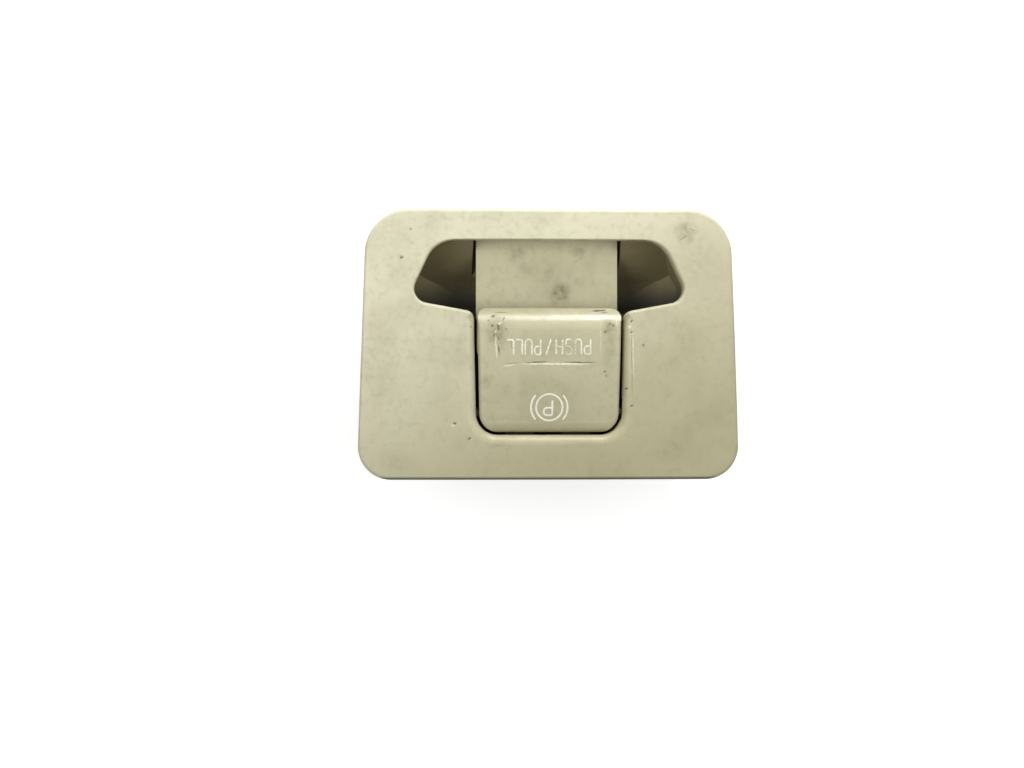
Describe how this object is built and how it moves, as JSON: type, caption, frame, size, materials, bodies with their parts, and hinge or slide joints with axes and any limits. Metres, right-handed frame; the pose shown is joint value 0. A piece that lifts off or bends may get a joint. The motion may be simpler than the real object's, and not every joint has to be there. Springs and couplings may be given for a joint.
{
  "type": "parking brake switch",
  "caption": "Panel-mounted parking brake switch: a beige domed bezel with a finger recess and a hinged handle that is pulled out or pushed in.",
  "frame": {"origin": "middle of the bezel's rim, on the front face of the panel that it seats on", "axes": "+Z points out of the panel towards the user, +Y is up as installed, towards the handle's hinge and its brake symbol, and +X is to the right seen from the front"},
  "size_m": [0.0804, 0.057, 0.0439],
  "materials": {
    "soft_touch_beige": "soft-touch paint, satin",
    "black_abs": "moulded, fine grain",
    "dark_well": "moulded, satin",
    "glass_filled_black": "moulded, matt",
    "zinc_steel": "zinc plated",
    "spring_steel": "drawn wire",
    "bronze_bush": "sintered",
    "acetal_white": "moulded",
    "phosphor_bronze": "stamped",
    "clear_acrylic": "polished",
    "opal_plastic": "moulded",
    "rubber_stop": "moulded",
    "green_board": "solder mask",
    "tinned_copper": "plated",
    "chip_epoxy": "moulded",
    "resistor_ceramic": "glazed",
    "pin_tin": "tin plated",
    "led_package": "moulded",
    "clip_steel": "phosphated spring steel"
  },
  "bodies": {
    "base": {"bezel": "soft_touch_beige", "pivot_bushes": "bronze_bush", "finger_well": "dark_well", "well_screws": "zinc_steel", "mechanism_frame": "glass_filled_black", "front_springs": "spring_steel", "rear_springs": "spring_steel", "push_bumpers": "rubber_stop", "light_pipe": "clear_acrylic", "assembly_screws": "zinc_steel", "housing": "black_abs", "retaining_clips": "clip_steel", "circuit_board": "green_board", "contact_pads": "tinned_copper", "symbol_led": "led_package", "control_chip": "chip_epoxy", "board_resistors": "resistor_ceramic", "board_screws": "zinc_steel", "connector_header": "black_abs", "connector_pins": "pin_tin", "rear_cover": "black_abs", "cover_screws": "zinc_steel"},
    "handle": {"handle": "soft_touch_beige", "handle_carrier": "glass_filled_black", "handle_screws": "zinc_steel", "symbol_insert": "opal_plastic", "pivot_pins": "zinc_steel"},
    "slider": {"slider": "acetal_white", "contact_wipers": "phosphor_bronze"}
  },
  "joints": [
    {"name": "handle_pivot", "type": "hinge", "parent": "base", "child": "handle", "pos_m": [0, 0.0145, -0.0005], "axis": [-1, 0, 0], "range_deg": [-5, 6.5], "stiffness_Nm_per_rad": 0.6, "deforming": ["front_springs", "rear_springs"]},
    {"name": "slider_slide", "type": "slide", "parent": "base", "child": "slider", "axis": [0, -1, 0], "range_m": [-0.00136, 0.00176]}
  ],
  "couplings": [
    {"joint": "slider_slide", "follows": "handle_pivot", "m_per_rad": 0.0155}
  ]
}
